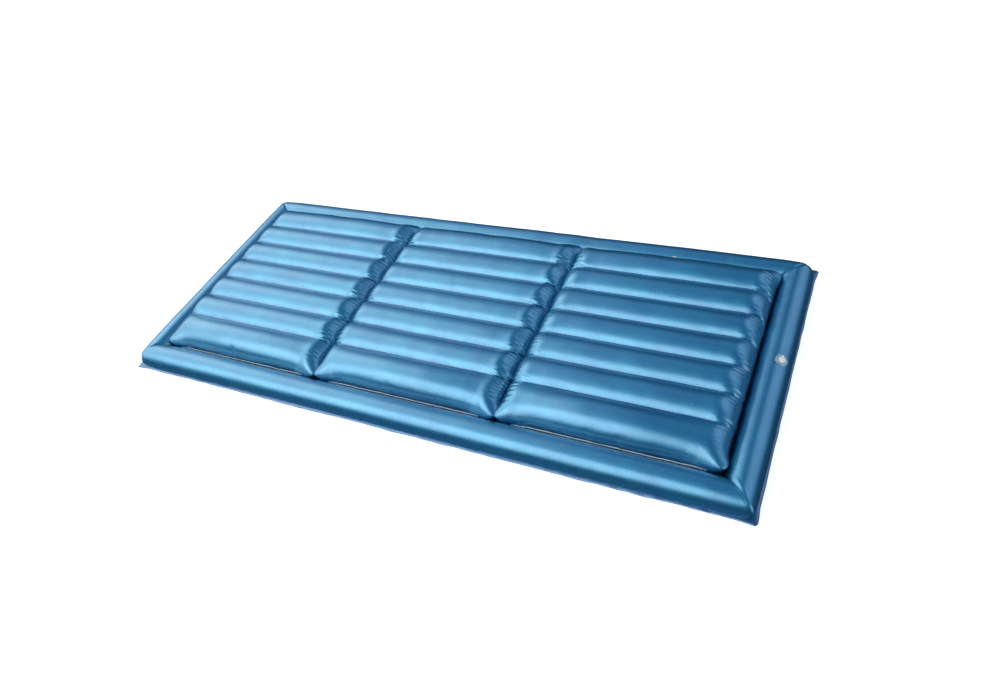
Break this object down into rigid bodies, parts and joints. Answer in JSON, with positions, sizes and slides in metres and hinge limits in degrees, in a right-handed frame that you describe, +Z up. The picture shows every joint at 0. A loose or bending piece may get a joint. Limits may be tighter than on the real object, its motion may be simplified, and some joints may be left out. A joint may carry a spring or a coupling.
{
  "type": "pressure relief mattress",
  "caption": "Inflated pressure relief mattress: lengthwise-channelled cushions side by side inside a rectangular mitred air frame, with push-in valves.",
  "frame": {"origin": "centre of the underside of the base sheet, on the surface the mattress lies on", "axes": "+X along the length towards the foot end with the frame valve, +Y across the width, +Z up"},
  "size_m": [2, 0.89, 0.127],
  "materials": {
    "cushion_film": "satin",
    "frame_film": "satin",
    "base_film": "satin",
    "weld_margin": "satin",
    "web_film": "satin",
    "clear_valve": "gloss",
    "white_plug": "gloss",
    "flap_film": "satin"
  },
  "bodies": {
    "mattress": {"base_sheet": "base_film", "cushion_1_film": "cushion_film", "cushion_1_rib_1": "web_film", "cushion_1_rib_2": "web_film", "cushion_1_rib_3": "web_film", "cushion_1_rib_4": "web_film", "cushion_1_rib_5": "web_film", "cushion_1_rib_6": "web_film", "cushion_1_weld_rim": "weld_margin", "cushion_2_film": "cushion_film", "cushion_2_rib_1": "web_film", "cushion_2_rib_2": "web_film", "cushion_2_rib_3": "web_film", "cushion_2_rib_4": "web_film", "cushion_2_rib_5": "web_film", "cushion_2_rib_6": "web_film", "cushion_2_weld_rim": "weld_margin", "cushion_3_film": "cushion_film", "cushion_3_rib_1": "web_film", "cushion_3_rib_2": "web_film", "cushion_3_rib_3": "web_film", "cushion_3_rib_4": "web_film", "cushion_3_rib_5": "web_film", "cushion_3_rib_6": "web_film", "cushion_3_weld_rim": "weld_margin", "filler_1_body": "clear_valve", "filler_2_body": "clear_valve", "filler_3_body": "clear_valve", "frame_flange_far": "weld_margin", "frame_flange_foot": "weld_margin", "frame_flange_head": "weld_margin", "frame_flange_near": "weld_margin", "frame_tube_far": "frame_film", "frame_tube_foot": "frame_film", "frame_tube_head": "frame_film", "frame_tube_near": "frame_film", "frame_valve_body": "clear_valve"},
    "frame_valve_plug_and_tether": {"frame_valve_plug": "white_plug", "frame_valve_tether": "clear_valve"},
    "frame_valve_flap": {"frame_valve_check_flap": "flap_film"},
    "filler_1_plug_and_tether": {"filler_1_plug": "white_plug", "filler_1_tether": "clear_valve"},
    "filler_1_flap": {"filler_1_check_flap": "flap_film"},
    "filler_2_plug_and_tether": {"filler_2_plug": "white_plug", "filler_2_tether": "clear_valve"},
    "filler_2_flap": {"filler_2_check_flap": "flap_film"},
    "filler_3_plug_and_tether": {"filler_3_plug": "white_plug", "filler_3_tether": "clear_valve"},
    "filler_3_flap": {"filler_3_check_flap": "flap_film"}
  },
  "joints": [
    {"name": "frame_valve_plug_pull", "type": "slide", "parent": "mattress", "child": "frame_valve_plug_and_tether", "axis": [0.4226, 0, 0.9063], "range_m": [0, 0.014]},
    {"name": "frame_valve_flap_hinge", "type": "hinge", "parent": "mattress", "child": "frame_valve_flap", "pos_m": [0.95982, 0.0115, 0.06442], "axis": [-0.9063, 0, 0.4226], "range_deg": [0, 40], "stiffness_Nm_per_rad": 0.0001, "springref_deg": -17.19},
    {"name": "filler_1_plug_pull", "type": "slide", "parent": "mattress", "child": "filler_1_plug_and_tether", "axis": [0, 0.866, 0.5], "range_m": [0, 0.014]},
    {"name": "filler_1_flap_hinge", "type": "hinge", "parent": "mattress", "child": "filler_1_flap", "pos_m": [-0.60983, 0.3263, 0.08732], "axis": [0, 0.5, -0.866], "range_deg": [0, 40], "stiffness_Nm_per_rad": 0.0001, "springref_deg": -17.19},
    {"name": "filler_2_plug_pull", "type": "slide", "parent": "mattress", "child": "filler_2_plug_and_tether", "axis": [0, 0.866, 0.5], "range_m": [0, 0.014]},
    {"name": "filler_2_flap_hinge", "type": "hinge", "parent": "mattress", "child": "filler_2_flap", "pos_m": [-0.0085, 0.3263, 0.08732], "axis": [0, 0.5, -0.866], "range_deg": [0, 40], "stiffness_Nm_per_rad": 0.0001, "springref_deg": -17.19},
    {"name": "filler_3_plug_pull", "type": "slide", "parent": "mattress", "child": "filler_3_plug_and_tether", "axis": [0, 0.866, 0.5], "range_m": [0, 0.014]},
    {"name": "filler_3_flap_hinge", "type": "hinge", "parent": "mattress", "child": "filler_3_flap", "pos_m": [0.59283, 0.3263, 0.08732], "axis": [0, 0.5, -0.866], "range_deg": [0, 40], "stiffness_Nm_per_rad": 0.0001, "springref_deg": -17.19}
  ]
}
